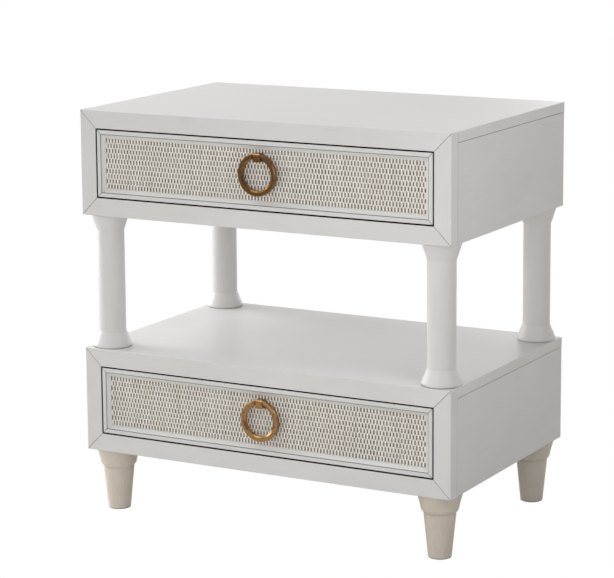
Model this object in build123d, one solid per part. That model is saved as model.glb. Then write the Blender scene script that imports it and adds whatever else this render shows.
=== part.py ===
from build123d import *
import os

# A painted nightstand: two drawer cases, one on four turned columns above the other, on four
# turned feet. The top of the lower case is the open shelf. Millimetres, +Z up, front towards -Y,
# x = 0 at the middle, z = 0 on the floor.

# Overall sizes
width = 711
depth = 457
foot_height = 111
case_height = 184
bay_height = 237

# Case boards
board = 18
frame_member = 31
frame_thickness = 24
back_thickness = 6
back_rebate = 9
edge_round = 1.2
seam_chamfer = 0.4
seam_depth = 1.2

# Drawer front: a mitred moulding round a woven panel, on a board
front_gap = 2.5
moulding_width = 14.5
moulding_depth = 8
weave_recess = 6
front_board = 18

# Drawer box
runner_space = 12.7
box_side = 12
box_height = 95
box_length = 400
box_lift = 10
bottom_thickness = 6
bottom_lift = 10
groove = 6

# Three-member runners; reaches are measured in from the packing strip's face
runner_length = 400
runner_start = 28
runner_metal = 1.2
case_member_height = 45
case_member_reach = 9
middle_member_height = 40.6
middle_member_offset = 3
middle_member_reach = 11.2
drawer_member_height = 35
drawer_member_start = 6
strip_height = 48
strip_lift = 9

# Turned columns and feet
column_inset_side = 34
column_inset_end = 36
column_radius = 24.1
column_neck = 25.0
column_lip_low = 33.7
column_lip_high = 32.8
flare_length = 27.5
flare_step = 1
foot_inset_side = 38.5
foot_inset_end = 40
foot_head = 38.3
foot_collar = 32.2
foot_neck = 27.4
foot_sole = 19.8
foot_collar_height = 24
foot_groove_drop = 33.5

# Hanger bolts and flanged nuts that hold columns and feet
bolt_radius = 4
bolt_in_turning = 30
bolt_past_board = 9
nut_height = 8
nut_radius = 7.5
flange_radius = 9
flange_thickness = 1.5

# Ring pull: a sprung ring, sloped inside its face, with two short trunnions in a square block
ring_outer = 36
ring_inner = 26.8
ring_thickness = 8
ring_bevel = 1
ring_slope_wide = 3
ring_slope_deep = 2.2
ring_rise = 2
ring_proud = 8.6
pull_block = 14
pull_slope = 2.5
pull_proud = 9
pull_rise = 31
pull_side_gap = 0.8
trunnion_radius = 2.3
trunnion_clearance = 0.05
trunnion_length = 4.3
trunnion_end_play = 0.2
screw_radius = 2
screw_clearance = 0.25
screw_in_block = 8
screw_head_radius = 4
screw_head_height = 2.6

# Places that follow from the sizes
front = pull_proud - (depth + pull_proud) / 2
back = front + depth
half = width / 2
inner = half - board
opening_half = half - frame_member
drawer_half = opening_half - front_gap
box_half = opening_half - runner_space
lower_bottom = foot_height
shelf_top = lower_bottom + case_height
upper_bottom = shelf_top + bay_height
levels = {"upper": upper_bottom, "lower": lower_bottom}


def bar(x, y, z):
    """A box between a low and a high limit on each axis; y counts back from the front face."""
    size = [high - low for low, high in (x, y, z)]
    return Pos(x[0], front + y[0], z[0]) * Box(*size, align=(Align.MIN,) * 3)


def rod(radius, low, high, x, y):
    """An upright cylinder between two heights; y counts back from the front face."""
    return Pos(x, front + y, low) * Cylinder(
        radius, high - low, align=(Align.CENTER, Align.CENTER, Align.MIN)
    )


def cross_rod(radius, low, high, y, z):
    """A cylinder along x between two places."""
    return Pos(low, front + y, z) * Rot(0, 90, 0) * Cylinder(
        radius, high - low, align=(Align.CENTER, Align.CENTER, Align.MIN)
    )


def deep_rod(radius, low, high, x, z):
    """A cylinder along y between two depths behind the front face."""
    return Pos(x, front + low, z) * Rot(-90, 0, 0) * Cylinder(
        radius, high - low, align=(Align.CENTER, Align.CENTER, Align.MIN)
    )


def both_sides(part):
    """A part and its mirror image in the middle plane."""
    return [part, mirror(part, about=Plane.YZ)]


def save(name, *solids):
    """Write one node: a single solid, or a group of separate ones."""
    shape = solids[0] if len(solids) == 1 else Compound(list(solids))
    shape.label = name
    export_step(shape, f"parts/{name}.step")


def edges_at(part, *tests):
    """The straight edges whose middle passes every test."""
    return [edge for edge in part.edges() if all(test(edge.center()) for test in tests)]


def near(axis, place):
    """A test that a point lies at a place on one axis."""
    return lambda point: abs(getattr(point, axis) - place) < 1e-3


def mitre_wedge(side, half_width, low, high, member, thickness):
    """One mitred member's outline, from the front face back, its mitres open at the front."""
    outer = {
        "left": [(-half_width, low), (-half_width, high)],
        "right": [(half_width, high), (half_width, low)],
        "top": [(-half_width, high), (half_width, high)],
        "bottom": [(half_width, low), (-half_width, low)],
    }[side]
    middle_z = (low + high) / 2
    inner_side = [
        (x - member if x > 0 else x + member, z - member if z > middle_z else z + member)
        for x, z in reversed(outer)
    ]
    corners = [(x, front, z) for x, z in outer + inner_side]
    wedge = extrude(Face(Wire.make_polygon(corners, close=True)), thickness, dir=(0, 1, 0))
    face = wedge.faces().sort_by(Axis.Y)[0]
    on_mitre = lambda point: abs(abs(point.X) - half_width + member / 2) < 1e-3
    seams = edges_at(wedge, near("Y", front), on_mitre)
    return chamfer(seams, seam_chamfer, seam_depth, reference=face)


def mitred_member(section, side, half_width, low, high, member, thickness):
    """A straight length of a section, cut to its two mitres.

    section takes a function that turns a distance in from the outer edge, and a depth, into a
    point in space, and gives the face to extrude."""
    if side in ("left", "right"):
        sign = 1 if side == "left" else -1
        start = lambda s, y: (sign * (s - half_width), front + y, low)
        straight = extrude(section(start), high - low, dir=(0, 0, 1))
    else:
        edge, sign = (high, -1) if side == "top" else (low, 1)
        start = lambda s, y: (-half_width, front + y, edge + sign * s)
        straight = extrude(section(start), 2 * half_width, dir=(1, 0, 0))
    return straight & mitre_wedge(side, half_width, low, high, member, thickness)


def face_section(side_seam):
    """The section of a case's front frame: eased outside and just broken round the opening."""
    wide, deep, ease, seam = frame_member, frame_thickness, edge_round, seam_chamfer
    bend = ease * (1 - 2**-0.5)

    def section(place):
        edges = [
            ThreePointArc(place(0, ease), place(bend, bend), place(ease, 0)),
            Line(place(ease, 0), place(wide - seam, 0)),
            Line(place(wide - seam, 0), place(wide, seam)),
            Line(place(wide, seam), place(wide, deep)),
            Line(place(wide, deep), place(seam_depth, deep)),
        ]
        if side_seam:
            edges.append(Line(place(seam_depth, deep), place(0, deep - seam)))
            edges.append(Line(place(0, deep - seam), place(0, ease)))
        else:
            edges.append(Line(place(seam_depth, deep), place(0, deep)))
            edges.append(Line(place(0, deep), place(0, ease)))
        return Face(Wire(edges))

    return section


def face_member(side, low, high):
    """A mitred member of a case's front frame; its seam shows down the case's sides only."""
    section = face_section(side in ("left", "right"))
    return mitred_member(section, side, half, low, high, frame_member, frame_thickness)


def case_top(level, high):
    """The board that caps a case, over its sides, with a rebate for the back and column holes."""
    under = high - board
    part = bar((-half, half), (frame_thickness, depth), (under, high))
    on_side = lambda point: abs(abs(point.X) - half) < 1e-3
    arris = edges_at(part, on_side, near("Z", high)) + edges_at(part, near("Y", back), near("Z", high))
    part = fillet(arris, edge_round)
    for side_x in (-half, half):
        face = part.faces().sort_by(Axis.X)[-1 if side_x > 0 else 0]
        seam = edges_at(part, near("X", side_x), near("Z", under))
        part = chamfer(seam, seam_chamfer, seam_depth, reference=face)
    rebate = bar(
        (-inner - back_rebate, inner + back_rebate),
        (depth - back_thickness, depth),
        (under, under + back_rebate),
    )
    part -= rebate
    if level == "lower":
        for x, y in column_places():
            part -= rod(bolt_radius, under, high, x, y)
    return part


def case_side(low, high):
    """The right side of a case, with its back rebate and seam edges just broken."""
    top = high - board
    part = bar((inner, half), (frame_thickness, depth), (low, top))
    outside = near("X", half)
    arris = edges_at(part, outside, near("Y", back)) + edges_at(part, outside, near("Z", low))
    part = fillet(arris, edge_round)
    seam_edges = edges_at(part, outside, near("Z", top))
    seam_edges += edges_at(part, outside, near("Y", front + frame_thickness))
    face = part.faces().sort_by(Axis.X)[-1]
    part = chamfer(seam_edges, seam_chamfer, seam_depth, reference=face)
    return part - bar((inner, inner + back_rebate), (depth - back_thickness, depth), (low, top))


def case_bottom(level, low):
    """The board between the sides, with holes for the bolts that go down out of the case."""
    part = bar((-inner, inner), (frame_thickness, depth - back_thickness), (low, low + board))
    places = column_places() if level == "upper" else foot_places()
    for x, y in places:
        part -= rod(bolt_radius, low, low + board, x, y)
    return part


def case_back(low, high):
    """The thin back, in the rebates of the sides and top and over the bottom's edge."""
    wide = inner + back_rebate
    return bar((-wide, wide), (depth - back_thickness, depth), (low, high - board + back_rebate))


def column_places():
    """Column centres as x, and y counted back from the front face."""
    x, y = half - column_inset_side, column_inset_end
    return [(-x, y), (x, y), (-x, depth - y), (x, depth - y)]


def foot_places():
    """Foot centres as x, and y counted back from the front face."""
    x, y = half - foot_inset_side, foot_inset_end
    return [(-x, y), (x, y), (-x, depth - y), (x, depth - y)]


def turned(*runs):
    """A turned solid: runs of (radius, height), two points for a line and three for an arc."""
    edges = []
    for run in runs:
        points = [(radius, 0, height) for radius, height in run]
        edges.append(Line(*points) if len(points) == 2 else ThreePointArc(*points))
    return revolve(Face(Wire(edges)), Axis.Z)


def column():
    """A plain turned shaft that flares at both ends, on its own axis, foot at z = 0."""
    shaft, neck, tall = column_radius, column_neck, bay_height
    low_flare, high_flare = flare_length, tall - flare_length
    sole, low_lip, low_taper = (column_lip_low - 1, 0), (column_lip_low, 3.5), (column_lip_low - 1.6, 9)
    high_taper, high_lip = (column_lip_high - 0.8, tall - 5), (column_lip_high, tall - 2.2)
    head = (column_lip_high - 0.6, tall)
    return turned(
        ((0, 0), sole),
        (sole, low_lip, low_taper),
        (low_taper, (neck, low_flare - flare_step)),
        ((neck, low_flare - flare_step), (shaft, low_flare)),
        ((shaft, low_flare), (shaft, high_flare)),
        ((shaft, high_flare), (neck, high_flare + flare_step)),
        ((neck, high_flare + flare_step), high_taper),
        (high_taper, high_lip, head),
        (head, (0, tall)),
        ((0, tall), (0, 0)),
    )


def foot():
    """A tapered turned foot with a collar under the case, on its own axis, sole at z = 0."""
    tall, groove_z = foot_height, foot_height - foot_groove_drop
    flat, eased, edge = (foot_sole - 1.5, 0), (foot_sole - 0.35, 0.6), (foot_sole, 2)
    under_groove, groove = (foot_neck, groove_z - 1), (foot_neck - 0.7, groove_z)
    over_groove, swell = (foot_neck + 0.2, groove_z + 0.8), (foot_collar - 0.9, groove_z + 5.2)
    collar = (foot_collar, tall - foot_collar_height)
    return turned(
        ((0, 0), flat),
        (flat, eased, edge),
        (edge, under_groove),
        (under_groove, groove),
        (groove, over_groove),
        (over_groove, swell, collar),
        (collar, (foot_head, tall)),
        ((foot_head, tall), (0, tall)),
        ((0, tall), (0, 0)),
    )


def hanger_nut(x, y, seat, up):
    """A flanged hexagon nut on a bolt, sitting on a board's face and pointing away from it."""
    hexagon = extrude(RegularPolygon(nut_radius, 6), nut_height)
    flange = Cylinder(flange_radius, flange_thickness, align=(Align.CENTER, Align.CENTER, Align.MIN))
    nut = hexagon + flange
    nut -= Cylinder(bolt_radius, nut_height, align=(Align.CENTER, Align.CENTER, Align.MIN))
    turn = Rot(0, 0, 0) if up else Rot(180, 0, 0)
    return Pos(x, front + y, seat) * turn * nut


def make_turnings():
    """Columns, feet, and the twelve hanger bolts and nuts that hold them."""
    bolts, nuts = [], []
    names = ["front_left", "front_right", "rear_left", "rear_right"]
    for name, (x, y) in zip(names, column_places()):
        post = Pos(x, front + y, shelf_top) * column()
        post -= rod(bolt_radius, shelf_top, shelf_top + bolt_in_turning, x, y)
        post -= rod(bolt_radius, upper_bottom - bolt_in_turning, upper_bottom, x, y)
        save(f"column_{name}", post)
        under = shelf_top - board
        bolts.append(rod(bolt_radius, under - bolt_past_board, shelf_top + bolt_in_turning, x, y))
        nuts.append(hanger_nut(x, y, under, up=False))
        over = upper_bottom + board
        bolts.append(rod(bolt_radius, upper_bottom - bolt_in_turning, over + bolt_past_board, x, y))
        nuts.append(hanger_nut(x, y, over, up=True))
    for name, (x, y) in zip(names, foot_places()):
        leg = Pos(x, front + y, 0) * foot()
        leg -= rod(bolt_radius, foot_height - bolt_in_turning, foot_height, x, y)
        save(f"foot_{name}", leg)
        over = lower_bottom + board
        bolts.append(rod(bolt_radius, foot_height - bolt_in_turning, over + bolt_past_board, x, y))
        nuts.append(hanger_nut(x, y, over, up=True))
    save("hanger_bolts", *bolts)
    save("hanger_nuts", *nuts)


def make_case(level, low):
    """The boards and the mitred front frame of one case."""
    high = low + case_height
    side = case_side(low, high)
    save("upper_top_panel" if level == "upper" else "shelf_panel", case_top(level, high))
    save(f"{level}_case_bottom", case_bottom(level, low))
    save(f"{level}_case_side_right", side)
    save(f"{level}_case_side_left", mirror(side, about=Plane.YZ))
    save(f"{level}_case_back", case_back(low, high))
    for place in ("top", "bottom", "left", "right"):
        kind = "rail" if place in ("top", "bottom") else "stile"
        save(f"{level}_face_{kind}_{place}", face_member(place, low, high))


def moulding_section(place):
    """The moulding's section: a flat band with an eased edge, a quirk, and a cove to the weave."""
    ease, band, quirk, cove_lip = 1.5, 7.2, 2.6, 0.8
    cove_start = band + 0.9
    middle = ((cove_start + moulding_width) / 2 - 0.5, (cove_lip + weave_recess) / 2 + 0.6)
    bend = ease * (1 - 2**-0.5)
    edges = [
        Line(place(0, moulding_depth), place(0, ease)),
        ThreePointArc(place(0, ease), place(bend, bend), place(ease, 0)),
        Line(place(ease, 0), place(band, 0)),
        Line(place(band, 0), place(band, quirk)),
        Line(place(band, quirk), place(cove_start, quirk)),
        Line(place(cove_start, quirk), place(cove_start, cove_lip)),
        ThreePointArc(place(cove_start, cove_lip), place(*middle), place(moulding_width, weave_recess)),
        Line(place(moulding_width, weave_recess), place(moulding_width, moulding_depth)),
        Line(place(moulding_width, moulding_depth), place(0, moulding_depth)),
    ]
    return Face(Wire(edges))


def make_drawer(level, case_low):
    """One drawer: its moulded and woven front, its box and its ring pull."""
    low = case_low + frame_member + front_gap
    high = case_low + case_height - frame_member - front_gap
    middle = case_low + case_height / 2
    rear = moulding_depth + front_board
    box_low = low + box_lift
    box_high = box_low + box_height
    bottom_low = box_low + bottom_lift
    bottom_high = bottom_low + bottom_thickness
    in_box = box_half - box_side
    bottom_half = in_box + groove
    for side in ("top", "bottom", "left", "right"):
        member = mitred_member(
            moulding_section, side, drawer_half, low, high, moulding_width, moulding_depth
        )
        save(f"{level}_drawer_moulding_{side}", member)

    screw_z = middle + pull_rise
    front_panel = bar((-drawer_half, drawer_half), (moulding_depth, rear), (low, high))
    front_panel -= bar((-bottom_half, bottom_half), (rear - groove, rear), (bottom_low, bottom_high))
    front_panel -= deep_rod(screw_radius + screw_clearance, moulding_depth, rear, 0, screw_z)
    save(f"{level}_drawer_front_board", front_panel)

    weave = bar(
        (-drawer_half + moulding_width, drawer_half - moulding_width),
        (weave_recess, moulding_depth),
        (low + moulding_width, high - moulding_width),
    )
    weave -= deep_rod(screw_radius + screw_clearance, weave_recess, moulding_depth, 0, screw_z)
    save(f"{level}_drawer_weave", weave)

    box_end = rear + box_length
    side_board = bar((in_box, box_half), (rear, box_end), (box_low, box_high))
    side_board -= bar((in_box, bottom_half), (rear, box_end), (bottom_low, bottom_high))
    save(f"{level}_drawer_side_right", side_board)
    save(f"{level}_drawer_side_left", mirror(side_board, about=Plane.YZ))
    save(
        f"{level}_drawer_back",
        bar((-in_box, in_box), (box_end - box_side, box_end), (bottom_high, box_high)),
    )
    save(
        f"{level}_drawer_bottom",
        bar((-bottom_half, bottom_half), (rear - groove, box_end), (bottom_low, bottom_high)),
    )
    make_pull(level, middle, rear, screw_z)


def make_pull(level, middle, rear, screw_z):
    """The block, its screw from inside the drawer, and the ring sprung into the block."""
    ring_z = middle + ring_rise
    ring_y = ring_thickness / 2 - ring_proud
    half_block = pull_block / 2
    end_x = half_block + pull_side_gap
    mean_radius = (ring_outer + ring_inner) / 2
    pivot_z = ring_z + (mean_radius**2 - end_x**2) ** 0.5
    block_z = middle + pull_rise

    upright = (block_z - half_block, block_z + half_block)
    block = bar((-half_block, half_block), (-pull_proud, weave_recess), upright)
    on_face = near("Y", front - pull_proud)
    block = chamfer(edges_at(block, on_face, near("Z", block_z + half_block)), pull_slope)
    block = chamfer(edges_at(block, on_face), ring_bevel)
    blind = end_x - trunnion_length - trunnion_end_play
    hole = trunnion_radius + trunnion_clearance
    block -= cross_rod(hole, blind, half_block, ring_y, pivot_z)
    block -= cross_rod(hole, -half_block, -blind, ring_y, pivot_z)
    block -= deep_rod(screw_radius, weave_recess - screw_in_block, weave_recess, 0, screw_z)
    save(f"{level}_pull_block", block)

    screw = deep_rod(screw_radius, weave_recess - screw_in_block, rear, 0, screw_z)
    screw += deep_rod(screw_head_radius, rear, rear + screw_head_height, 0, screw_z)
    save(f"{level}_pull_screw", screw)

    face, rear = -ring_thickness / 2, ring_thickness / 2
    outline = [
        (ring_inner, face + ring_slope_deep),
        (ring_inner + ring_slope_wide, face),
        (ring_outer - ring_bevel, face),
        (ring_outer, face + ring_bevel),
        (ring_outer, rear - ring_bevel),
        (ring_outer - ring_bevel, rear),
        (ring_inner + ring_bevel, rear),
        (ring_inner, rear - ring_bevel),
    ]
    section = Face(Wire.make_polygon([(radius, y, 0) for radius, y in outline], close=True))
    ring = Pos(0, front + ring_y, ring_z) * revolve(section, Axis.Y)
    ring -= bar((-end_x, end_x), (-ring_outer, ring_outer), (ring_z, ring_z + 2 * ring_outer))
    for sign in (1, -1):
        tip, root = sorted((sign * (end_x - trunnion_length), sign * (end_x + 1)))
        ring += cross_rod(trunnion_radius, tip, root, ring_y, pivot_z)
    save(f"{level}_ring_pull", ring)


def channel(web, lips, height, y, middle):
    """The right-hand side of a runner member, as a pressed channel: a web and two lips.

    web and lips are distances in from the packing strip's face."""
    reach = height / 2
    top, under = middle + reach, middle - reach
    part = bar((opening_half - web[1], opening_half - web[0]), y, (under, top))
    for low, high in ((top - runner_metal, top), (under, under + runner_metal)):
        part += bar((opening_half - lips[1], opening_half - lips[0]), y, (low, high))
    return part


def make_runners():
    """Packing strips and the fixed, middle and drawer members of both drawers' runners."""
    strips, fixed = [], []
    whole = (runner_start, runner_start + runner_length)
    on_box = (runner_start, moulding_depth + front_board + box_length)
    fixed_web, fixed_lips = (0, runner_metal), (runner_metal, case_member_reach)
    middle_web = (middle_member_offset, middle_member_offset + runner_metal)
    middle_lips = (middle_web[1], middle_member_reach)
    drawer_web = (runner_space - runner_metal, runner_space)
    drawer_lips = (drawer_member_start, drawer_web[0])
    for level, case_low in levels.items():
        middle = case_low + frame_member + front_gap + box_lift + strip_lift + strip_height / 2
        strip = bar(
            (opening_half, inner),
            (frame_thickness, depth - back_thickness),
            (middle - strip_height / 2, middle + strip_height / 2),
        )
        strips += both_sides(strip)
        fixed += both_sides(channel(fixed_web, fixed_lips, case_member_height, whole, middle))
        inside = channel(middle_web, middle_lips, middle_member_height, whole, middle)
        save(f"{level}_middle_runners", *both_sides(inside))
        on_drawer = channel(drawer_web, drawer_lips, drawer_member_height, on_box, middle)
        save(f"{level}_drawer_runners", *both_sides(on_drawer))
    save("runner_packing_strips", *strips)
    save("runner_case_members", *fixed)


os.makedirs("parts", exist_ok=True)
make_turnings()
make_runners()
for level, low in levels.items():
    make_case(level, low)
    make_drawer(level, low)
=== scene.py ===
import math
import random

import bmesh
import bpy
from bpy.props import FloatProperty, IntProperty, PointerProperty, StringProperty
from mathutils import Matrix, Vector


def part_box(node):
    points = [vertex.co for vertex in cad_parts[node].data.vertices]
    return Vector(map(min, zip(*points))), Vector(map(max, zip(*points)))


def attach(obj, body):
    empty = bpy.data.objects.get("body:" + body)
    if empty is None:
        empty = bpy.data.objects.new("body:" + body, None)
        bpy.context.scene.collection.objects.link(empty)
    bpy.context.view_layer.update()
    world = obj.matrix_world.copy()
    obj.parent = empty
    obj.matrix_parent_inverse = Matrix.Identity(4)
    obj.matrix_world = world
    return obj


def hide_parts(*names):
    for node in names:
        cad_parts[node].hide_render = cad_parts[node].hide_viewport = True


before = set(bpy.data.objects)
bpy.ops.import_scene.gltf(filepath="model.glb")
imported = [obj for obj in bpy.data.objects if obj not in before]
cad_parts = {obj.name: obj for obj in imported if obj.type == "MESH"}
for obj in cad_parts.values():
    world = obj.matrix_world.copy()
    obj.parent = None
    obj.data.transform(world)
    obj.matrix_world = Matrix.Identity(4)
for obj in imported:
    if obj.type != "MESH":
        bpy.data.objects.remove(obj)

bl_info = {
    "name": "Nightstand with drawers",
    "version": (1, 0, 0),
    "blender": (4, 5, 0),
    "location": "View3D > Sidebar > Nightstand",
    "description": "Finishes a painted nightstand: turnings, woven drawer panels, ring pulls and paint",
    "category": "Add Mesh",
}

MM = 0.001
SHARP_ANGLE = math.radians(38)
LEVELS = ("upper", "lower")
SIDES = ("top", "bottom", "left", "right")
CORNERS = ("front_left", "front_right", "rear_left", "rear_right")


# ---------------------------------------------------------------- sizes and colours


def length(name, description, millimetres):
    """A property that holds a length, given in millimetres and kept in metres."""
    return FloatProperty(
        name=name,
        description=description,
        default=millimetres * MM,
        min=0.0,
        precision=5,
        unit="LENGTH",
        subtype="DISTANCE",
    )


def colour(name, description, value):
    """A property that holds a colour as six sRGB hex digits."""
    return StringProperty(name=name, description=description, default=value)


class NightstandSizes(bpy.types.PropertyGroup):
    """Sizes of what is shaped here; every place comes from the frame."""

    warp_pitch: length("Warp pitch", "Spacing of the upright raffia strands", 3.05)
    warp_width: length("Warp width", "Width of an upright strand where it crosses in front", 3.5)
    warp_thickness: length("Warp thickness", "Thickness of an upright strand", 0.7)
    weft_pitch: length("Weft pitch", "Spacing of the level strands", 8.85)
    weft_width: length("Weft width", "Height of a level strand", 6.9)
    weft_thickness: length("Weft thickness", "Thickness of a level strand", 0.45)
    backing: length("Backing", "Thickness of the cloth that the weave is bonded to", 0.08)
    ring_outer: length("Ring radius", "Outer radius of a ring pull", 36)
    ring_inner: length("Ring hole", "Inner radius of a ring pull", 26.8)
    ring_bevel: length("Ring bevel", "Width of the bevels along a ring", 1.0)
    ring_slope_wide: length("Slope width", "How far a ring's face slopes off to its hole", 3.0)
    ring_slope_deep: length("Slope depth", "How deep that slope goes", 2.2)
    ring_gap: length("Ring gap", "Half the distance between a ring's two ends", 7.8)
    trunnion: length("Trunnion", "Radius of the pins that a ring turns on", 2.3)
    trunnion_reach: length("Trunnion reach", "How far a pin goes into the block", 4.3)
    board_ease: length("Board edge", "Sanded rounding of an unpainted board's edges", 0.6)
    steel_ease: length("Steel edge", "Rounding of pressed steel and of small brass", 0.25)
    turning_steps: IntProperty(
        name="Turning steps", description="Faces round a turned piece", default=96, min=12
    )


class NightstandColours(bpy.types.PropertyGroup):
    """Finishes, as sRGB hex values."""

    lacquer: colour("Lacquer", "Pigmented lacquer on the case", "E1E0DF")
    lacquer_shade: colour("Lacquer shade", "The lacquer where it lies thin over the grain", "DAD8D6")
    # Painted shade: the near-black tone that the case's lacquer takes in gaps, seams and corners.
    painted_crevice_shade: colour("Crevice", "Undercoat and dust where the spray does not reach", "0D0B09")
    # Painted shade: the lighter tone painted into the corners round the columns.
    painted_corner_shade: colour("Contact", "Lacquer in the corner where a column meets a board", "B9B5AF")
    # Painted shade: the feet's two tones are warmer than the case's and made darker to stand in for the
    # shade low under the case.
    foot_lacquer_and_shade: colour("Foot lacquer", "The warmer lacquer on the feet", "DCD4C9")
    foot_thin_lacquer_and_shade: colour("Foot shade", "The feet's lacquer where it lies thin", "CEC3B5")
    warp: colour("Warp", "Bleached raffia, the upright strands", "F6F2EC")
    warp_dark: colour("Warp streaks", "Darker fibres in the upright strands", "E6DFD5")
    weft: colour("Weft", "Natural raffia, the level strands", "8C8273")
    weft_dark: colour("Weft streaks", "Darker fibres in the level strands", "574E43")
    # Painted shade: the backing is this dark so the gaps between the strands read as shade.
    cloth: colour("Backing cloth", "The cloth behind the weave", "4C443A")
    # Painted reflection: both pulls are one brass; the upper is made darker and the lower lighter to
    # stand in for the darker and brighter reflections each shows.
    upper_brass_painted_dark: colour("Upper brass", "The upper pull, aged darker", "8C6840")
    lower_brass_painted_bright: colour("Lower brass", "The lower pull, aged less", "B28A5A")
    # The dark tone serves as patina in the tool lines and also as painted shade where the brass lies
    # close to other parts.
    patina_and_shade: colour("Patina", "Brass in the hollows of the tooling", "3A2616")
    birch: colour("Birch", "Clear-finished birch of the drawer boxes", "D9BE96")
    birch_dark: colour("Birch grain", "Late wood in the birch", "BE9A6C")
    zinc: colour("Zinc", "Zinc plating on runners and fasteners", "B9BCBD")
    floor: colour("Floor", "The floor of the studio, as it throws light back", "E1DEDA")


# ---------------------------------------------------------------- small helpers


def linear(hex_colour):
    """An sRGB hex value as the linear red, green, blue and alpha that a shader wants."""
    channels = [int(hex_colour[i : i + 2], 16) / 255 for i in (0, 2, 4)]
    return [c / 12.92 if c <= 0.04045 else ((c + 0.055) / 1.055) ** 2.4 for c in channels] + [1.0]


def darker(hex_colour, share):
    """A colour for a shader, with that share of the light of an sRGB hex value."""
    return [c * share for c in linear(hex_colour)[:3]] + [1.0]


def add(tree, kind, values=(), **settings):
    """Adds a node: settings are its attributes, values its inputs, each a constant or a socket."""
    node = tree.nodes.new(kind)
    for name, value in settings.items():
        setattr(node, name, value)
    for socket, value in dict(values).items():
        if isinstance(value, bpy.types.NodeSocket):
            tree.links.new(value, node.inputs[socket])
        else:
            node.inputs[socket].default_value = value
    return node


def start_material(name):
    """A new material, its node tree and its one shader."""
    made = bpy.data.materials.new(name)
    made.use_nodes = True
    return made, made.node_tree, made.node_tree.nodes["Principled BSDF"]


def once(name, build, *details):
    """The material of that name, built the first time it is asked for."""
    return bpy.data.materials.get(name) or build(name, *details)


def stretched(tree, along, run, across):
    """Coordinates in which a pattern is run long on one axis and across wide on the others."""
    scale = [1 / across] * 3
    scale["xyz".index(along)] = 1 / run
    place = add(tree, "ShaderNodeTexCoord").outputs["Object"]
    return add(tree, "ShaderNodeMapping", {"Vector": place, "Scale": scale}).outputs["Vector"]


def noise(tree, vector, detail=2.0, roughness=0.5):
    """Soft noise in coordinates that already have its scale."""
    values = {"Vector": vector, "Scale": 1.0, "Detail": detail, "Roughness": roughness}
    return add(tree, "ShaderNodeTexNoise", values).outputs["Fac"]


def between(tree, factor, low, high, first, second):
    """A blend of two colours as a factor goes from low to high."""
    ramp = add(tree, "ShaderNodeValToRGB", {"Fac": factor})
    ramp.color_ramp.elements[0].position = low
    ramp.color_ramp.elements[0].color = first
    ramp.color_ramp.elements[1].position = high
    ramp.color_ramp.elements[1].color = second
    return ramp.outputs["Color"]


def average(tree, first, second):
    """The mean of two factors."""
    total = add(tree, "ShaderNodeMath", {0: first, 1: second}, operation="ADD").outputs[0]
    return add(tree, "ShaderNodeMath", {0: total, 1: 0.5}, operation="MULTIPLY").outputs[0]


def ranged(tree, factor, low, high):
    """A factor of 0.3 to 0.7, as noise mostly gives, spread from low to high."""
    values = {"Value": factor, "From Min": 0.3, "From Max": 0.7, "To Min": low, "To Max": high}
    return add(tree, "ShaderNodeMapRange", values).outputs["Result"]


def relief(tree, height, depth, under=None):
    """A bump of that depth, laid over another bump if there is one."""
    values = {"Height": height, "Distance": depth, "Strength": 1.0}
    if under is not None:
        values["Normal"] = under
    return add(tree, "ShaderNodeBump", values).outputs["Normal"]


def openness(tree, reach, shut=0.3, clear=0.62):
    """0 where surfaces closer than reach hem a place in, 1 where it lies open; the mask for painted
    shade.
    """
    sky = add(tree, "ShaderNodeAmbientOcclusion", {"Distance": reach}, samples=8).outputs["AO"]
    values = {"Value": sky, "From Min": shut, "From Max": clear, "To Min": 0, "To Max": 1}
    return add(tree, "ShaderNodeMapRange", values).outputs["Result"]


def mixed(tree, share, colour, other):
    """A blend of two colours, each a constant or a socket."""
    factor, first, second, result = 0, 6, 7, 2
    values = {factor: share, first: colour, second: other}
    return add(tree, "ShaderNodeMix", values, data_type="RGBA").outputs[result]


def link(tree, shader, **sockets):
    """Joins patterns to the shader's sockets."""
    for name, source in sockets.items():
        tree.links.new(source, shader.inputs[name.replace("_", " ")])


def assign(piece, *materials):
    """Gives a piece its materials, in the order of its faces' material numbers."""
    piece.data.materials.clear()
    for material in materials:
        piece.data.materials.append(material)


def place_mesh(name, mesh, body, node, slot, *materials):
    """Makes a piece of a bmesh: on its body, in place of its CAD node, with its finish."""
    data = bpy.data.meshes.new(name)
    bmesh.ops.recalc_face_normals(mesh, faces=mesh.faces)
    mesh.to_mesh(data)
    mesh.free()
    data.shade_smooth()
    data.set_sharp_from_angle(angle=SHARP_ANGLE)
    piece = bpy.data.objects.new(name, data)
    bpy.context.scene.collection.objects.link(piece)
    assign(piece, *materials)
    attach(piece, body)
    if node:
        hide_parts(node)
    return piece


def bend(start, through, end, steps=6):
    """Points on a smooth bend from start to end, by way of a middle point, without the start."""
    start, through, end = Vector(start), Vector(through), Vector(end)
    control = 2 * through - (start + end) / 2
    shares = [k / steps for k in range(1, steps + 1)]
    return [start * (1 - t) ** 2 + control * 2 * t * (1 - t) + end * t**2 for t in shares]


def circle(radius, count):
    """Points round a circle, as pairs of level offsets."""
    angles = [2 * math.pi * k / count for k in range(count)]
    return [(radius * math.cos(a), radius * math.sin(a)) for a in angles]


def turn(profile, centre, foot, steps):
    """A turned solid on an upright axis, from its half outline of (radius, height) in mm."""
    mesh = bmesh.new()
    rings = []
    for radius, height in profile:
        spots = circle(radius * MM, steps) if radius else [(0, 0)]
        level = foot + height * MM
        rings.append([mesh.verts.new((centre.x + x, centre.y + y, level)) for x, y in spots])
    for low, high in zip(rings, rings[1:]):
        for k in range(steps):
            here, ahead = (k % len(low), k % len(high)), ((k + 1) % len(low), (k + 1) % len(high))
            corners = (low[here[0]], low[ahead[0]], high[ahead[1]], high[here[1]])
            mesh.faces.new(dict.fromkeys(corners))
    return mesh


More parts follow.
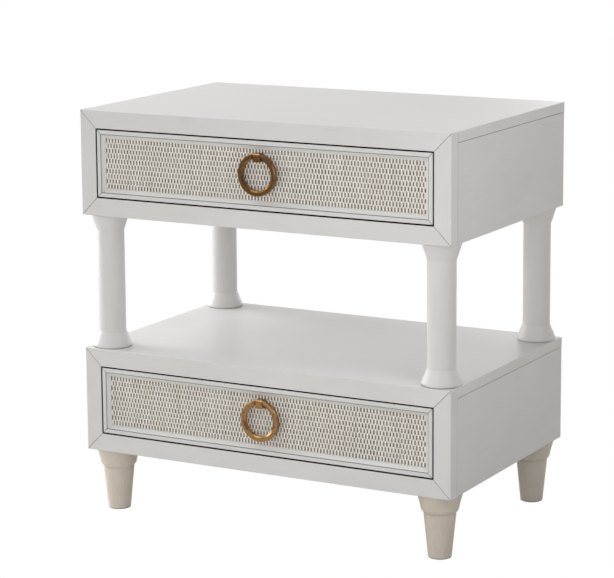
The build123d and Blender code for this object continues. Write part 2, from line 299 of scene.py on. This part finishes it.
def tube(mesh, rings, material=0):
    """Skins rings of points into one closed tube with flat ends."""
    loops = [[mesh.verts.new(point) for point in ring] for ring in rings]
    count = len(loops[0])
    for low, high in zip(loops, loops[1:]):
        for k in range(count):
            ahead = (k + 1) % count
            mesh.faces.new((low[k], low[ahead], high[ahead], high[k])).material_index = material
    for ring in (loops[0], loops[-1]):
        mesh.faces.new(ring).material_index = material


def round_off(piece, width):
    """Rounds a piece's sharp edges with a modifier."""
    rounding = piece.modifiers.new("eased_edges", "BEVEL")
    rounding.width = width
    rounding.segments = 3
    rounding.limit_method = "ANGLE"
    rounding.angle_limit = math.radians(30)
    rounding.harden_normals = True


def ease_edges(node, width):
    """Rounds a CAD node's sharp edges with modifiers, which leave its own mesh as it is."""
    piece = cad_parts[node]
    weld = piece.modifiers.new("join_faces", "WELD")
    weld.merge_threshold = 0.01 * MM
    flat = piece.modifiers.new("clean_flats", "DECIMATE")
    flat.decimate_type = "DISSOLVE"
    flat.angle_limit = math.radians(0.5)
    round_off(piece, width)
    return piece


# ---------------------------------------------------------------- materials


def lacquered_wood(name, along, base, shade, painted_crevice_shade):
    """Pigmented lacquer sprayed on a close-grained wood and rubbed down to satin.

    The colour is even and soft, the gloss low and broad. Along the grain the film sinks by
    hundredths of a millimetre, so flats show faint long streaks, and sprayed lacquer has a
    fine orange peel. Painted shade: where other surfaces close in within a few millimetres,
    in gaps and corners, the colour goes to the given dark tone and the gloss drops."""
    made, tree, shader = start_material(name)
    grain = noise(tree, stretched(tree, along, 60 * MM, 1.4 * MM), 3.0, 0.6)
    clouds = noise(tree, stretched(tree, along, 180 * MM, 90 * MM), 2.0)
    peel = noise(tree, stretched(tree, along, 2.2 * MM, 1.6 * MM), 1.0)
    streaks = average(tree, grain, clouds)
    paint = between(tree, streaks, 0.32, 0.6, linear(shade), linear(base))
    # Painted shade: ambient occlusion within this reach darkens the colour towards the dark tone and
    # cuts the gloss.
    shade_reach, full_gloss = 9 * MM, 0.5
    clear = openness(tree, shade_reach)
    gloss = add(tree, "ShaderNodeMath", {0: clear, 1: full_gloss}, operation="MULTIPLY").outputs[0]
    sunk = relief(tree, grain, 0.015 * MM)
    link(
        tree,
        shader,
        Base_Color=mixed(tree, clear, linear(painted_crevice_shade), paint),
        Specular_IOR_Level=gloss,
        Roughness=ranged(tree, clouds, 0.36, 0.46),
        Normal=relief(tree, peel, 0.01 * MM, sunk),
    )
    shader.inputs["IOR"].default_value = 1.5
    return made


def woven_raffia(name, along, base, dark):
    """Raffia palm leaf, split, dried and woven flat.

    Each strand is a bundle of fibres, so it is streaked lengthwise, has a soft sheen along
    the fibres, and differs in tone from the next strand."""
    made, tree, shader = start_material(name)
    strand = noise(tree, stretched(tree, along, 45 * MM, 4.5 * MM), 1.0)
    fibres = noise(tree, stretched(tree, along, 14 * MM, 0.5 * MM), 2.0)
    streaks = average(tree, strand, fibres)
    link(
        tree,
        shader,
        Base_Color=between(tree, streaks, 0.36, 0.56, linear(dark), linear(base)),
        Roughness=ranged(tree, fibres, 0.5, 0.7),
        Normal=relief(tree, fibres, 0.06 * MM),
    )
    shader.inputs["IOR"].default_value = 1.45
    return made


def woven_cloth(name, base):
    """Cotton backing cloth, plain woven; threads 0.4 mm apart give it a matt, fine-ribbed look. It is
    dark to stand in for the shade in the gaps between the strands.
    """
    made, tree, shader = start_material(name)
    rows = noise(tree, stretched(tree, "x", 3 * MM, 0.4 * MM))
    threads = noise(tree, stretched(tree, "z", 3 * MM, 0.4 * MM))
    weave = add(tree, "ShaderNodeMath", {0: rows, 1: threads}, operation="MULTIPLY").outputs[0]
    between_threads = darker(base, 0.6)
    link(
        tree,
        shader,
        Base_Color=between(tree, weave, 0.15, 0.35, between_threads, linear(base)),
        Normal=relief(tree, weave, 0.1 * MM),
    )
    shader.inputs["Roughness"].default_value = 0.9
    return made


def aged_brass(name, centre, base, dark):
    """Brass, turned or milled, darkened with a patina and rubbed back by hands.

    Tool lines run round the ring; the patina stays in them and in clouds a few millimetres
    across, duller where it is darker. Edges rub through to brighter metal. Within 4 mm of the
    block, the pins or the panel the dark tone is painted in as shade."""
    made, tree, shader = start_material(name)
    place = add(tree, "ShaderNodeTexCoord").outputs["Object"]
    out = add(tree, "ShaderNodeVectorMath", {0: place, 1: centre}, operation="SUBTRACT")
    face_on = {0: out.outputs[0], 1: (1, 0, 1)}
    flat = add(tree, "ShaderNodeVectorMath", face_on, operation="MULTIPLY")
    radius = add(tree, "ShaderNodeVectorMath", {0: flat.outputs[0]}, operation="LENGTH")
    lines = add(
        tree,
        "ShaderNodeTexNoise",
        {"W": radius.outputs["Value"], "Scale": 1 / (0.9 * MM), "Detail": 2.0},
        noise_dimensions="1D",
    ).outputs["Fac"]
    clouds = noise(tree, stretched(tree, "y", 5 * MM, 5 * MM), 3.0, 0.6)
    metal = between(tree, average(tree, lines, clouds), 0.3, 0.5, linear(dark), linear(base))
    link(
        tree,
        shader,
        # Painted shade: within 4 mm of the block, the pins or the panel the colour goes to the dark
        # tone.
        Base_Color=mixed(tree, openness(tree, 4 * MM, 0.3, 0.8), linear(dark), metal),
        Roughness=ranged(tree, clouds, 0.3, 0.16),
        Normal=relief(tree, lines, 0.02 * MM),
    )
    shader.inputs["Metallic"].default_value = 1.0
    return made


def birch_wood(name, along, base, dark):
    """Solid birch, planed, sanded and given a clear matt finish: pale, with fine long grain."""
    made, tree, shader = start_material(name)
    figure = noise(tree, stretched(tree, along, 260 * MM, 9 * MM), 4.0, 0.55)
    pores = noise(tree, stretched(tree, along, 9 * MM, 0.5 * MM), 2.0)
    grain = average(tree, figure, pores)
    link(
        tree,
        shader,
        Base_Color=between(tree, grain, 0.38, 0.62, linear(dark), linear(base)),
        Roughness=ranged(tree, pores, 0.5, 0.62),
        Normal=relief(tree, pores, 0.04 * MM),
    )
    return made


def zinc_plate(name, base):
    """Steel, pressed or cut, zinc plated: grey, softly bright, with a faint rolled streak."""
    made, tree, shader = start_material(name)
    rolled = noise(tree, stretched(tree, "y", 30 * MM, 0.8 * MM), 2.0)
    bloom = noise(tree, stretched(tree, "y", 6 * MM, 6 * MM), 2.0)
    dull = darker(base, 0.75)
    link(
        tree,
        shader,
        Base_Color=between(tree, bloom, 0.35, 0.65, dull, linear(base)),
        Roughness=ranged(tree, bloom, 0.28, 0.42),
        Normal=relief(tree, rolled, 0.01 * MM),
    )
    shader.inputs["Metallic"].default_value = 1.0
    return made


def case_lacquer(colours, along):
    """The case's lacquer over wood whose grain runs along x, y or z, with near-black painted shade in
    its gaps and corners.
    """
    shades = (colours.lacquer, colours.lacquer_shade, colours.painted_crevice_shade)
    return once(f"satin_lacquer_grain_{along}", lacquered_wood, along, *shades)


def bay_lacquer(colours, along):
    """The same lacquer on the columns and the shelf, with a lighter painted shade in the corners where
    a column meets a board.
    """
    shades = (colours.lacquer, colours.lacquer_shade, colours.painted_corner_shade)
    return once(f"satin_lacquer_bay_{along}", lacquered_wood, along, *shades)


# ---------------------------------------------------------------- operators


class NightstandOperator:
    """What every operator of this add-on shares."""

    bl_options = {"REGISTER", "UNDO"}

    def execute(self, context):
        self.make(context.scene.nightstand_sizes, context.scene.nightstand_colours)
        return {"FINISHED"}


class FinishCases(NightstandOperator, bpy.types.Operator):
    """Lacquer the boards and the mitred front frames of both cases"""

    bl_idname = "nightstand.finish_cases"
    bl_label = "Cases"

    def make(self, sizes, colours):
        for level in LEVELS:
            top = "upper_top_panel" if level == "upper" else "shelf_panel"
            grain = {
                top: "x",
                f"{level}_case_bottom": "x",
                f"{level}_case_back": "x",
                f"{level}_case_side_left": "y",
                f"{level}_case_side_right": "y",
                f"{level}_face_rail_top": "x",
                f"{level}_face_rail_bottom": "x",
                f"{level}_face_stile_left": "z",
                f"{level}_face_stile_right": "z",
            }
            for node, along in grain.items():
                # The shelf takes a lighter painted shade by the columns; every other board takes
                # near-black painted shade in its gaps and corners.
                lacquer = bay_lacquer if node == "shelf_panel" else case_lacquer
                assign(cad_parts[node], lacquer(colours, along))


class TurnColumns(NightstandOperator, bpy.types.Operator):
    """Turn the four columns between the cases, flared at both ends, with bolt holes"""

    bl_idname = "nightstand.turn_columns"
    bl_label = "Columns"

    def make(self, sizes, colours):
        for corner in CORNERS:
            node = f"column_{corner}"
            low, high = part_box(node)
            profile = self.profile((high.z - low.z) / MM)
            mesh = turn(profile, (low + high) / 2, low.z, sizes.turning_steps)
            # The columns take a lighter painted shade where they meet the boards.
            paint = bay_lacquer(colours, "z")
            place_mesh(f"turned_{node}", mesh, "carcass", node, "painted_wood", paint)

    def profile(self, tall):
        """Half the outline in millimetres, from inside the lower bolt hole to the upper one."""
        shaft, neck, low_lip, high_lip = 24.1, 25.0, 33.7, 32.8
        bolt, bore, flare, step = 4.0, 30.0, 27.5, 1.0
        crisp, even = 2.0, 0.35
        low, high = flare, tall - flare
        sole, taper = (low_lip - 1, 0), (low_lip - 1.6, 9)
        points = [(0, bore), (bolt, bore), (bolt, 0), sole]
        points += bend(sole, (low_lip, 3.5), taper)
        points += self.shoulder((neck + even, low - crisp), (neck, low - step), (shaft, low))
        points += [(shaft, low + crisp), (shaft, high - crisp), (shaft, high)]
        points += self.shoulder((shaft, high), (neck, high + step), (neck + even, high + crisp))
        under_lip, head = (high_lip - 0.8, tall - 5), (high_lip - 0.6, tall)
        points += [under_lip, *bend(under_lip, (high_lip, tall - 2.2), head)]
        return points + [(bolt, tall), (bolt, tall - bore), (0, tall - bore)]

    def shoulder(self, start, through, end):
        """The small rounded step where a flare meets the shaft."""
        return [start, *bend(start, through, end, 4)]


class TurnFeet(NightstandOperator, bpy.types.Operator):
    """Turn the four tapered feet, each with a collar and a groove, on an eased sole"""

    bl_idname = "nightstand.turn_feet"
    bl_label = "Feet"

    def make(self, sizes, colours):
        # Painted shade: darker tones for the shade under the case, and the dark tone in the groove and
        # where a foot meets the case.
        shades = (colours.foot_lacquer_and_shade, colours.foot_thin_lacquer_and_shade, colours.painted_crevice_shade)
        paint = once("satin_lacquer_feet_and_shade", lacquered_wood, "z", *shades)
        for corner in CORNERS:
            node = f"foot_{corner}"
            low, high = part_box(node)
            profile = self.profile((high.z - low.z) / MM)
            mesh = turn(profile, (low + high) / 2, low.z, sizes.turning_steps)
            place_mesh(f"turned_{node}", mesh, "carcass", node, "painted_feet", paint)

    def profile(self, tall):
        """Half the outline in millimetres, from the sole's middle to inside the bolt hole."""
        sole, neck, collar, head = 19.8, 27.4, 32.2, 38.3
        bolt, bore, crisp = 4.0, 30.0, 1.5
        groove, step = tall - 33.5, tall - 24
        flat, edge = (sole - 1.5, 0), (sole, 2)
        under, over, swell = (neck, groove - 1), (neck + 0.2, groove + 0.8), (collar, step)
        points = [(0, 0), flat, *bend(flat, (sole - 0.35, 0.6), edge), (sole + 0.2, 2 + crisp)]
        points += [(neck - 0.15, groove - 1 - crisp), under]
        points += bend(under, (neck - 0.7, groove - 0.1), over)
        points += bend(over, (collar - 0.9, groove + 5.2), swell, 8)
        points += [(collar + 0.3, step + crisp), (head - 0.3, tall - crisp), (head, tall)]
        return points + [(bolt, tall), (bolt, tall - bore), (0, tall - bore)]


class FinishDrawerFronts(NightstandOperator, bpy.types.Operator):
    """Lacquer the mitred mouldings and the boards of the drawer fronts"""

    bl_idname = "nightstand.finish_drawer_fronts"
    bl_label = "Drawer fronts"

    def make(self, sizes, colours):
        for level in LEVELS:
            for side in SIDES:
                along = "x" if side in ("top", "bottom") else "z"
                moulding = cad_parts[f"{level}_drawer_moulding_{side}"]
                # The mouldings and boards take near-black painted shade in the gaps round the drawer.
                assign(moulding, case_lacquer(colours, along))
            board = ease_edges(f"{level}_drawer_front_board", sizes.steel_ease)
            assign(board, case_lacquer(colours, "x"))


class WeavePanels(NightstandOperator, bpy.types.Operator):
    """Weave the raffia panels strand by strand and bond each to its cloth"""

    bl_idname = "nightstand.weave_panels"
    bl_label = "Woven panels"

    def make(self, sizes, colours):
        warp = once("bleached_raffia_warp", woven_raffia, "z", colours.warp, colours.warp_dark)
        weft = once("natural_raffia_weft", woven_raffia, "x", colours.weft, colours.weft_dark)
        cloth = once("dark_backing_cloth_for_shade", woven_cloth, colours.cloth)
        for level in LEVELS:
            node, body = f"{level}_drawer_weave", f"{level}_drawer"
            low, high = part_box(node)
            chance = random.Random(LEVELS.index(level))
            uprights = self.uprights(sizes, low, high, chance)
            place_mesh(f"{level}_raffia_warp", uprights, body, node, "woven_raffia", warp)
            levels = self.levels(sizes, low, high, chance)
            place_mesh(f"{level}_raffia_weft", levels, body, None, "woven_raffia", weft)
            backing = self.backing(sizes, low, high)
            place_mesh(f"{level}_backing_cloth", backing, body, None, "woven_raffia", cloth)

    def depth(self, sizes, low, high):
        """The middle plane of the weave, and how far an upright strand swings to each side."""
        rear = high.y - sizes.backing
        return (low.y + rear) / 2, (rear - low.y - sizes.warp_thickness) / 2

    def swing(self, row, strand):
        """From -1 behind the level strand to 1 in front of it, changing quickly between rows."""
        squareness = 1.5
        wave = math.sin(math.pi * (row + strand))
        return math.tanh(squareness * wave) / math.tanh(squareness)

    def uprights(self, sizes, low, high, chance):
        """The upright strands, over one level strand and under the next."""
        middle, reach = self.depth(sizes, low, high)
        count = round((high.x - low.x) / sizes.warp_pitch)
        pitch = (high.x - low.x) / count
        per_row = 6
        spacing = sizes.weft_pitch / per_row
        steps = round((high.z - low.z) / spacing)
        corners = [math.radians(a) for a in (0, 55, 90, 125, 180, 270)]
        squeezed, spread = 0.68, 0.32
        thick = sizes.warp_thickness / 2
        mesh = bmesh.new()
        for strand in range(count):
            x = low.x + (strand + 0.5) * pitch + chance.uniform(-0.14, 0.14) * MM
            edge = sizes.warp_width / 2
            x = min(max(x, low.x + edge), high.x - edge)
            breadth = sizes.warp_width * chance.uniform(0.9, 1.04)
            slip = chance.uniform(-0.05, 0.05)
            proud = chance.uniform(0.86, 1.0)
            rings = []
            for step in range(steps + 1):
                z = low.z + (high.z - low.z) * step / steps
                swing = self.swing((z - low.z) / sizes.weft_pitch + slip, strand)
                wide = breadth / 2 * (squeezed + spread * abs(swing))
                y = middle - reach * proud * swing
                rings.append(
                    [(x + wide * math.cos(a), y - thick * math.sin(a), z) for a in corners]
                )
            tube(mesh, rings)
        return mesh

    def levels(self, sizes, low, high, chance):
        """The level strands, pressed a little to and fro by the uprights."""
        middle, reach = self.depth(sizes, low, high)
        pressed = 0.12 * reach
        count = round((high.x - low.x) / sizes.warp_pitch)
        corners = [math.radians(a) for a in (0, 30, 90, 150, 180, 210, 270, 330)]
        mesh = bmesh.new()
        rows = math.ceil((high.z - low.z) / sizes.weft_pitch)
        narrowest = 1 * MM
        for row in range(rows):
            z = low.z + (row + 0.5) * sizes.weft_pitch
            half = sizes.weft_width / 2 * chance.uniform(0.95, 1.03)
            top, bottom = min(z + half, high.z), max(z - half, low.z)
            if top - bottom < narrowest:
                continue
            centre, half = (top + bottom) / 2, (top - bottom) / 2
            rings = []
            for strand in range(count + 1):
                x = low.x + (high.x - low.x) * strand / count
                y = middle + pressed * math.cos(math.pi * (strand + row))
                rings.append(
                    [
                        (x, y - sizes.weft_thickness / 2 * math.sin(a), centre + half * math.cos(a))
                        for a in corners
                    ]
                )
            tube(mesh, rings)
        return mesh

    def backing(self, sizes, low, high):
        """The cloth behind the strands, as a thin sheet, dark to stand in for the shade in the gaps
        between them.
        """
        mesh = bmesh.new()
        front = high.y - sizes.backing
        rings = [
            [(x, front, low.z), (x, high.y, low.z), (x, high.y, high.z), (x, front, high.z)]
            for x in (low.x, high.x)
        ]
        tube(mesh, rings)
        return mesh


class MakeRingPulls(NightstandOperator, bpy.types.Operator):
    """Turn the ring pulls with bevelled edges and finish their blocks and screws"""

    bl_idname = "nightstand.make_ring_pulls"
    bl_label = "Ring pulls"

    def make(self, sizes, colours):
        # Painted reflection: darker and lighter copies of one brass for the two levels.
        brass = {"upper": colours.upper_brass_painted_dark, "lower": colours.lower_brass_painted_bright}
        for level in LEVELS:
            node = f"{level}_ring_pull"
            low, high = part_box(node)
            centre = Vector((0, (low.y + high.y) / 2, low.z + sizes.ring_outer))
            tones = (brass[level], colours.patina_and_shade)
            metal = once(f"{level}_aged_brass", aged_brass, centre, *tones)
            mesh = self.ring(sizes, centre, high.y - low.y)
            name, body = f"{level}_turned_ring", f"{level}_ring"
            ring = place_mesh(name, mesh, body, node, "aged_brass", metal)
            round_off(ring, sizes.steel_ease)
            assign(ease_edges(f"{level}_pull_block", sizes.steel_ease), metal)
            screw = ease_edges(f"{level}_pull_screw", sizes.steel_ease)
            assign(screw, once("zinc_plated_steel", zinc_plate, colours.zinc))

    def section(self, sizes, deep):
        """The bar that the ring is bent from, as (radius, depth); its face slopes to the hole."""
        inner, outer, bevel = sizes.ring_inner, sizes.ring_outer, sizes.ring_bevel
        face, rear = -deep / 2, deep / 2
        return [
            (inner, face + sizes.ring_slope_deep),
            (inner + sizes.ring_slope_wide, face),
            (outer - bevel, face),
            (outer, face + bevel),
            (outer, rear - bevel),
            (outer - bevel, rear),
            (inner + bevel, rear),
            (inner, rear - bevel),
        ]

    def ring(self, sizes, centre, deep):
        """The open ring, its ends upright and facing each other, and its two pins."""
        mesh = bmesh.new()
        steps = 120
        section = self.section(sizes, deep)
        rings = []
        for k in range(steps + 1):
            ring = []
            for radius, y in section:
                end = math.asin(sizes.ring_gap / radius)
                angle = end + (2 * math.pi - 2 * end) * k / steps
                spot = Vector((radius * math.sin(angle), y, radius * math.cos(angle)))
                ring.append(centre + spot)
            rings.append(ring)
        tube(mesh, rings)
        mean_radius = (sizes.ring_inner + sizes.ring_outer) / 2
        pin = centre + Vector((0, 0, math.sqrt(mean_radius**2 - sizes.ring_gap**2)))
        sunk, break_edge, round_steps = 0.5 * MM, 0.4 * MM, 24
        root, tip = sizes.ring_gap + sunk, sizes.ring_gap - sizes.trunnion_reach
        lathe = (
            (root, sizes.trunnion),
            (tip + break_edge, sizes.trunnion),
            (tip, sizes.trunnion - break_edge),
        )
        for side in (-1, 1):
            rings = []
            for x, radius in lathe:
                spots = circle(radius, round_steps)
                rings.append([pin + Vector((side * x, *spot)) for spot in spots])
            tube(mesh, rings)
        return mesh


class FinishDrawerBoxes(NightstandOperator, bpy.types.Operator):
    """Ease and finish the birch boards of both drawer boxes and the packing strips"""

    bl_idname = "nightstand.finish_drawer_boxes"
    bl_label = "Drawer boxes"

    def make(self, sizes, colours):
        grain = {
            "drawer_side_left": "y",
            "drawer_side_right": "y",
            "drawer_back": "x",
            "drawer_bottom": "x",
        }
        nodes = {f"{level}_{part}": along for level in LEVELS for part, along in grain.items()}
        nodes["runner_packing_strips"] = "y"
        for node, along in nodes.items():
            board = ease_edges(node, sizes.board_ease)
            tones = (colours.birch, colours.birch_dark)
            assign(board, once(f"matt_birch_grain_{along}", birch_wood, along, *tones))


class FinishMetalwork(NightstandOperator, bpy.types.Operator):
    """Zinc-plate the runners, hanger bolts and nuts, with their pressed edges rounded"""

    bl_idname = "nightstand.finish_metalwork"
    bl_label = "Runners and fasteners"

    def make(self, sizes, colours):
        nodes = ["runner_case_members", "hanger_bolts", "hanger_nuts"]
        nodes += [f"{level}_{part}_runners" for level in LEVELS for part in ("middle", "drawer")]
        for node in nodes:
            metal = ease_edges(node, sizes.steel_ease)
            assign(metal, once("zinc_plated_steel", zinc_plate, colours.zinc))


class SetStage(NightstandOperator, bpy.types.Operator):
    """Lay the white floor and set the soft studio light and the camera"""

    bl_idname = "nightstand.set_stage"
    bl_label = "Studio"

    def make(self, sizes, colours):
        self.floor(colours)
        self.surround()
        self.lamps()
        self.camera()
        bpy.context.scene.view_settings.view_transform = "Standard"

    def floor(self, colours):
        """A matt white floor, exposed to plain white where the camera sees it."""
        mesh = bmesh.new()
        bmesh.ops.create_circle(mesh, cap_ends=True, radius=9.0, segments=96)
        data = bpy.data.meshes.new("studio_floor")
        mesh.to_mesh(data)
        mesh.free()
        piece = bpy.data.objects.new("studio_floor", data)
        bpy.context.scene.collection.objects.link(piece)
        made, tree, shader = start_material("matt_studio_floor")
        shader.inputs["Base Color"].default_value = linear(colours.floor)
        shader.inputs["Roughness"].default_value = 0.95
        shader.inputs["Specular IOR Level"].default_value = 0.1
        glow = add(tree, "ShaderNodeEmission", {"Color": (1, 1, 1, 1), "Strength": 1.0})
        seen = add(tree, "ShaderNodeLightPath").outputs["Is Camera Ray"]
        both = add(
            tree, "ShaderNodeMixShader", {0: seen, 1: shader.outputs[0], 2: glow.outputs[0]}
        )
        tree.links.new(both.outputs[0], tree.nodes["Material Output"].inputs["Surface"])
        assign(piece, made)

    def surround(self):
        """A white studio: lighter on the left, with a white wall behind that surfaces mirror."""
        world = bpy.data.worlds.new("white_studio")
        world.use_nodes = True
        tree = world.node_tree
        soft = tree.nodes["Background"]
        tree.links.new(self.shaded(tree, 0.4, (-0.32, 0, -0.08)), soft.inputs["Strength"])
        soft.inputs["Color"].default_value = (1, 1, 1, 1)
        white = {"Color": (1, 1, 1, 1), "Strength": self.shaded(tree, 0.6, (-0.3, 0.35, 0.1))}
        wall = add(tree, "ShaderNodeBackground", white)
        plain = add(tree, "ShaderNodeBackground", {"Color": (1, 1, 1, 1), "Strength": 1.0})
        path = add(tree, "ShaderNodeLightPath").outputs
        values = {0: path["Is Glossy Ray"], 1: soft.outputs[0], 2: wall.outputs[0]}
        light = add(tree, "ShaderNodeMixShader", values)
        values = {0: path["Is Camera Ray"], 1: light.outputs[0], 2: plain.outputs[0]}
        both = add(tree, "ShaderNodeMixShader", values)
        tree.links.new(both.outputs[0], tree.nodes["World Output"].inputs["Surface"])
        bpy.context.scene.world = world

    def shaded(self, tree, level, slope):
        """A strength that changes evenly with direction."""
        way = add(tree, "ShaderNodeTexCoord").outputs["Generated"]
        lean = add(tree, "ShaderNodeVectorMath", {0: way, 1: slope}, operation="DOT_PRODUCT")
        values = {0: lean.outputs["Value"], 1: level}
        return add(tree, "ShaderNodeMath", values, operation="ADD").outputs[0]

    def lamps(self):
        """Soft boxes round the object: azimuth from the front, elevation, reach, size, power."""
        aim = Vector((0, 0, 0.36))
        boxes = {
            "left_low": (-90, 12, 3.0, 1.6, 47.0),
            "left_high": (-90, 50, 3.0, 1.6, 23.5),
            "front_left_high": (-30, 50, 3.0, 1.6, 8.6),
            "rear_right_low": (135, 12, 3.0, 1.6, 8.0),
            "rear_low": (180, 12, 3.0, 1.6, 20.0),
            "right_near": (60, 22, 1.5, 0.8, 4.4),
            "front_near": (0, 12, 1.5, 0.8, 3.5),
        }
        for name, (azimuth, elevation, reach, breadth, power) in boxes.items():
            round_by, up_by = math.radians(azimuth), math.radians(elevation)
            level = math.cos(up_by)
            across, ahead = math.sin(round_by) * level, -math.cos(round_by) * level
            towards = Vector((across, ahead, math.sin(up_by)))
            lamp = bpy.data.lights.new(name, "AREA")
            lamp.shape, lamp.size, lamp.energy = "SQUARE", breadth, power
            holder = bpy.data.objects.new(name, lamp)
            holder.location = aim + towards * reach
            holder.rotation_euler = (-towards).to_track_quat("-Z", "Y").to_euler()
            bpy.context.scene.collection.objects.link(holder)

    def camera(self):
        """A long lens on the front right, a little above the top, looking slightly down."""
        eye = bpy.data.cameras.new("camera")
        eye.lens = 142.4
        eye.sensor_width = 36
        eye.shift_y = -0.08
        holder = bpy.data.objects.new("camera", eye)
        heading, pitch, roll = (math.radians(a) for a in (28.985, 10.239, -0.438))
        turned = Matrix.Rotation(heading, 4, "Z") @ Matrix.Rotation(math.pi / 2 - pitch, 4, "X")
        case_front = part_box("upper_face_rail_top")[0].y
        right_of_middle, before_case, above_floor = 2.0075, 3.459, 1.2372
        place = Matrix.Translation((right_of_middle, case_front - before_case, above_floor))
        holder.matrix_world = place @ turned @ Matrix.Rotation(roll, 4, "Z")
        bpy.context.scene.collection.objects.link(holder)
        bpy.context.scene.camera = holder


class NightstandPanel(bpy.types.Panel):
    """Lists the nightstand's operators in the order they are run"""

    bl_idname = "VIEW3D_PT_nightstand"
    bl_label = "Nightstand"
    bl_space_type = "VIEW_3D"
    bl_region_type = "UI"
    bl_category = "Nightstand"

    def draw(self, context):
        for operator in OPERATORS:
            self.layout.operator(operator.bl_idname)
        for group in (context.scene.nightstand_sizes, context.scene.nightstand_colours):
            box = self.layout.box()
            for name in group.bl_rna.properties.keys():
                if name not in ("rna_type", "name"):
                    box.prop(group, name)


OPERATORS = (
    SetStage,
    FinishCases,
    TurnColumns,
    TurnFeet,
    FinishDrawerFronts,
    WeavePanels,
    MakeRingPulls,
    FinishDrawerBoxes,
    FinishMetalwork,
)
CLASSES = (NightstandSizes, NightstandColours, *OPERATORS, NightstandPanel)


def register():
    for item in CLASSES:
        bpy.utils.register_class(item)
    bpy.types.Scene.nightstand_sizes = PointerProperty(type=NightstandSizes)
    bpy.types.Scene.nightstand_colours = PointerProperty(type=NightstandColours)


def unregister():
    del bpy.types.Scene.nightstand_colours
    del bpy.types.Scene.nightstand_sizes
    for item in reversed(CLASSES):
        bpy.utils.unregister_class(item)


def main():
    """Runs every operator in turn."""
    register()
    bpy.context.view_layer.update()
    for operator in OPERATORS:
        group, name = operator.bl_idname.split(".")
        getattr(getattr(bpy.ops, group), name)()


if __name__ == "__main__":
    main()
